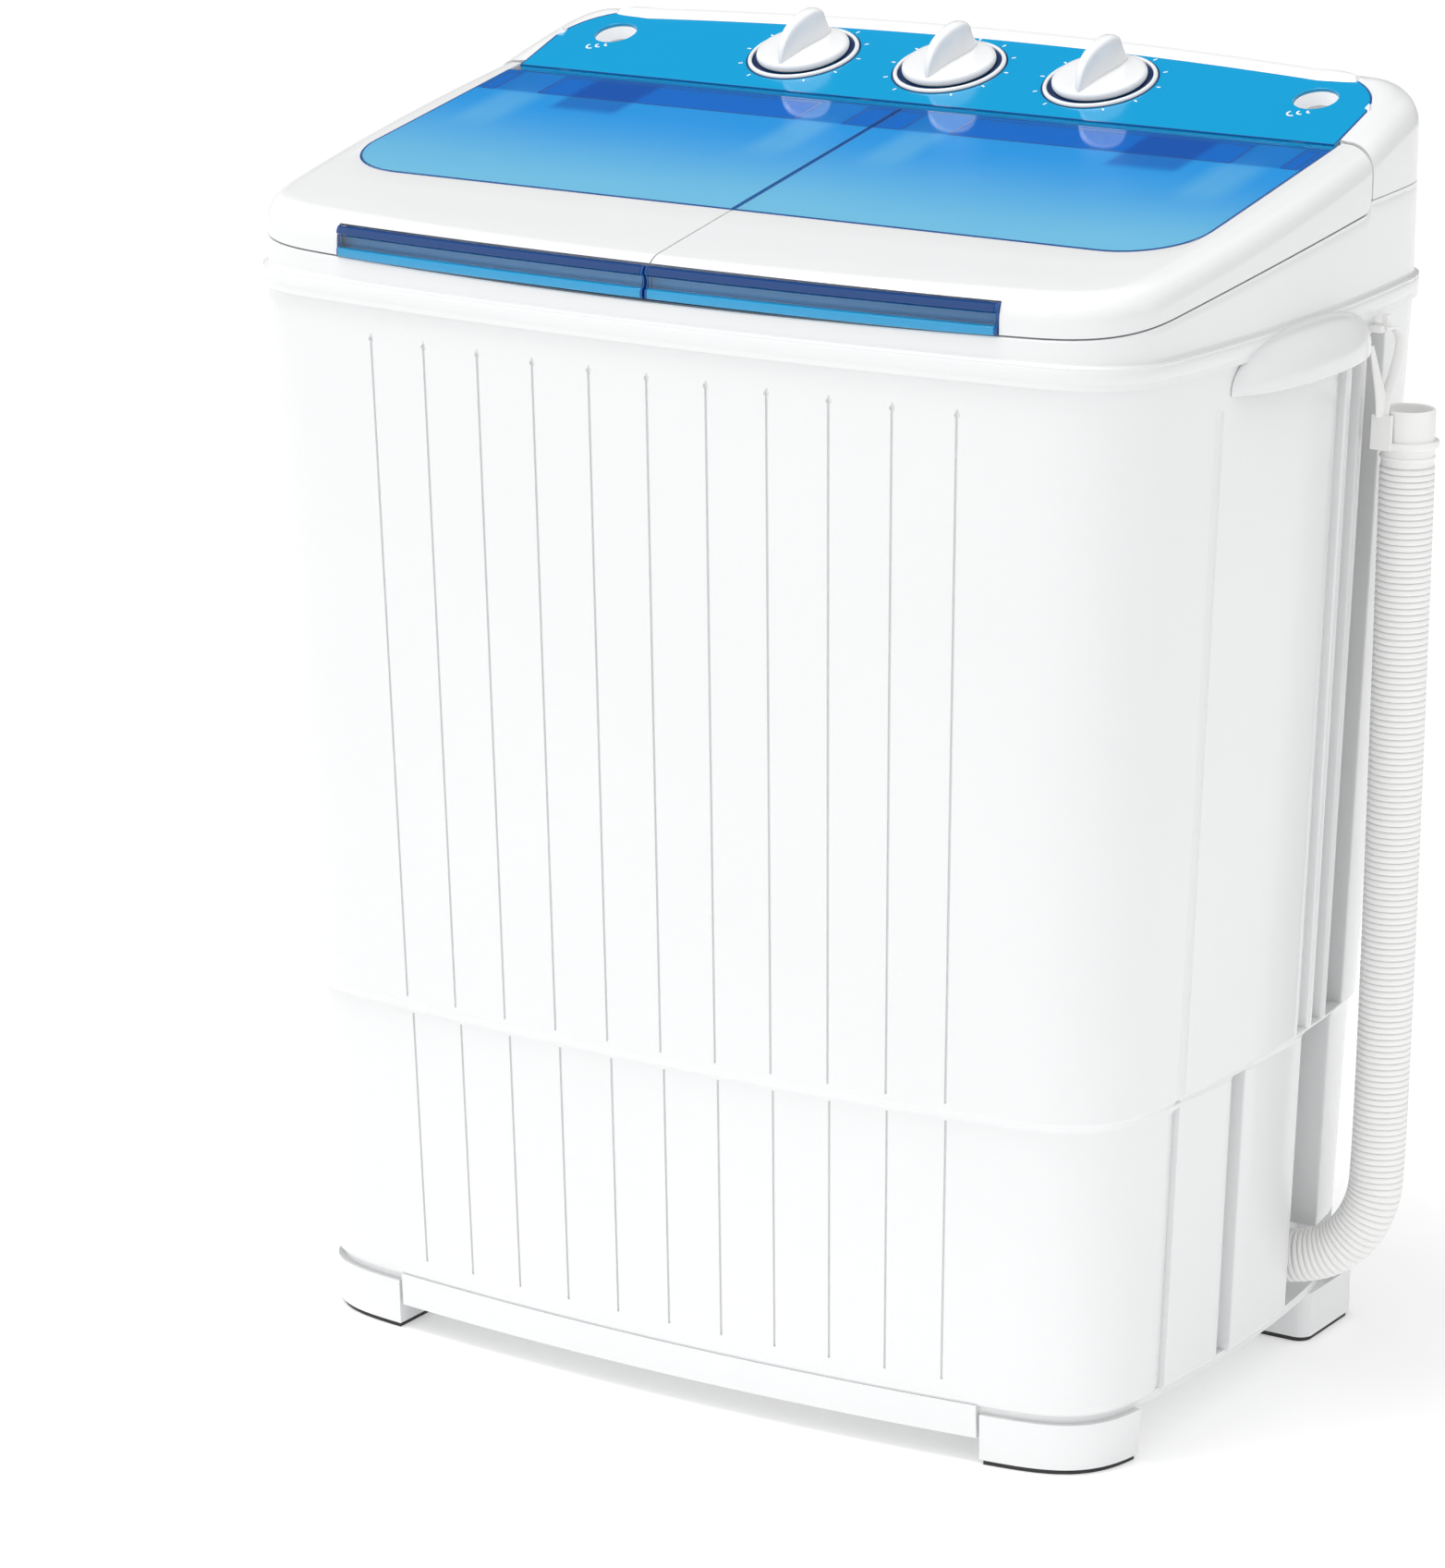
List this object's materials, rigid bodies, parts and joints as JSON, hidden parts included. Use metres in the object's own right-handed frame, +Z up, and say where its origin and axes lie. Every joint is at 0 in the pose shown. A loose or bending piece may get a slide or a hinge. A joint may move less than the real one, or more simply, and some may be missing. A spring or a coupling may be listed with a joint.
{
  "type": "twin tub washer",
  "caption": "Portable twin tub washer: white tapered cabinet with ribbed front, two clear blue lids, sloped blue control panel with knobs, wash tub, spin basket and drain hose.",
  "frame": {"origin": "on the floor under the middle of the cabinet", "axes": "+Z up, +X to the right of a user facing the front, -Y out of the front towards the user"},
  "size_m": [0.6249, 0.399, 0.7338],
  "materials": {
    "white_plastic": "glossy white moulded plastic",
    "tub_plastic": "satin white polypropylene",
    "hose_plastic": "satin white polyethylene, corrugated",
    "blue_panel": "glossy sky-blue sheet",
    "blue_clear": "clear blue tinted plastic",
    "grey_plastic": "matt grey plastic",
    "rubber": "matt black rubber",
    "steel": "plated steel",
    "motor_paint": "satin grey paint",
    "capacitor_case": "satin off-white"
  },
  "bodies": {
    "machine": {"cabinet": "white_plastic", "deck": "white_plastic", "console": "white_plastic", "base": "white_plastic", "feet": "white_plastic", "back_cover": "white_plastic", "side_grips": "white_plastic", "knob_bezels": "white_plastic", "inlet_funnels": "white_plastic", "hose_hanger": "hose_plastic", "hose_cuff": "hose_plastic", "drain_hose": "hose_plastic", "control_panel": "blue_panel", "foot_pads": "rubber", "wash_seal": "rubber", "bellows_seal": "rubber", "drive_belt": "rubber", "cord_gland": "grey_plastic", "wash_tub": "tub_plastic", "spin_tub": "tub_plastic", "water_spouts": "tub_plastic", "lint_filter": "tub_plastic", "hinge_pins": "steel", "suspension_springs": "steel", "back_screws": "steel", "brake_pivot": "steel", "wash_motor_bracket": "steel", "spin_motor_mount": "steel", "clockwork_timers": "grey_plastic", "selector_switch": "grey_plastic", "bearing_housing": "grey_plastic", "wash_motor": "motor_paint", "spin_motor": "motor_paint", "drain_valve": "grey_plastic", "drain_pipe": "grey_plastic", "capacitors": "capacitor_case"},
    "lid_left": {"lid_frame_left": "white_plastic", "lid_window_left": "blue_clear", "lid_handle_left": "blue_clear"},
    "lid_right": {"lid_frame_right": "white_plastic", "lid_window_right": "blue_clear", "lid_handle_right": "blue_clear"},
    "wash_timer_knob": {"knob_wash_timer": "white_plastic", "shaft_wash_timer": "steel"},
    "selector_knob": {"knob_selector": "white_plastic", "shaft_selector": "steel"},
    "spin_timer_knob": {"knob_spin_timer": "white_plastic", "shaft_spin_timer": "steel"},
    "pulsator": {"pulsator": "tub_plastic", "pulsator_shaft": "steel", "big_pulley": "grey_plastic"},
    "wash_rotor": {"wash_motor_shaft": "steel", "small_pulley": "steel"},
    "spin": {"spin_basket": "tub_plastic", "balance_ring": "tub_plastic", "spin_shaft": "steel", "brake_drum": "steel"},
    "spin_cover": {"spin_cover": "tub_plastic"},
    "drain_plug": {"valve_plug": "rubber"},
    "brake": {"brake_lever": "steel"}
  },
  "joints": [
    {"name": "lid_left_hinge", "type": "hinge", "parent": "machine", "child": "lid_left", "pos_m": [-0.135, 0.0653, 0.67998], "axis": [-1, 0, 0], "range_deg": [0, 102]},
    {"name": "lid_right_hinge", "type": "hinge", "parent": "machine", "child": "lid_right", "pos_m": [0.135, 0.0653, 0.67998], "axis": [-1, 0, 0], "range_deg": [0, 102]},
    {"name": "wash_timer_turn", "type": "hinge", "parent": "machine", "child": "wash_timer_knob", "pos_m": [-0.096, 0.118, 0.70454], "axis": [0, 0.319, -0.9478], "range_deg": [0, 300]},
    {"name": "selector_turn", "type": "hinge", "parent": "machine", "child": "selector_knob", "pos_m": [0, 0.118, 0.70454], "axis": [0, 0.319, -0.9478], "range_deg": [0, 90]},
    {"name": "spin_timer_turn", "type": "hinge", "parent": "machine", "child": "spin_timer_knob", "pos_m": [0.096, 0.118, 0.70454], "axis": [0, 0.319, -0.9478], "range_deg": [0, 300]},
    {"name": "pulsator_spin", "type": "hinge", "parent": "machine", "child": "pulsator", "pos_m": [-0.137, -0.058, 0.26], "axis": [0, 0, 1], "continuous": true},
    {"name": "wash_motor_spin", "type": "hinge", "parent": "machine", "child": "wash_rotor", "pos_m": [-0.137, 0.096, 0.18], "axis": [0, 0, 1], "continuous": true},
    {"name": "basket_spin", "type": "hinge", "parent": "machine", "child": "spin", "pos_m": [0.137, -0.058, 0.25], "axis": [0, 0, 1], "continuous": true},
    {"name": "spin_cover_lift", "type": "slide", "parent": "machine", "child": "spin_cover", "axis": [0, 0, 1], "range_m": [0, 0.012]},
    {"name": "drain_plug_lift", "type": "slide", "parent": "machine", "child": "drain_plug", "axis": [0, 0, 1], "range_m": [0, 0.012]},
    {"name": "brake_lever_turn", "type": "hinge", "parent": "machine", "child": "brake", "pos_m": [0.203, -0.024, 0.176], "axis": [0, 0, 1], "range_deg": [0, 1.5]}
  ],
  "couplings": [
    {"joint": "wash_motor_spin", "follows": "pulsator_spin", "ratio": 4},
    {"joint": "selector_turn", "follows": "drain_plug_lift", "rad_per_m": 130.9},
    {"joint": "brake_lever_turn", "follows": "lid_right_hinge", "ratio": 0.0125}
  ]
}
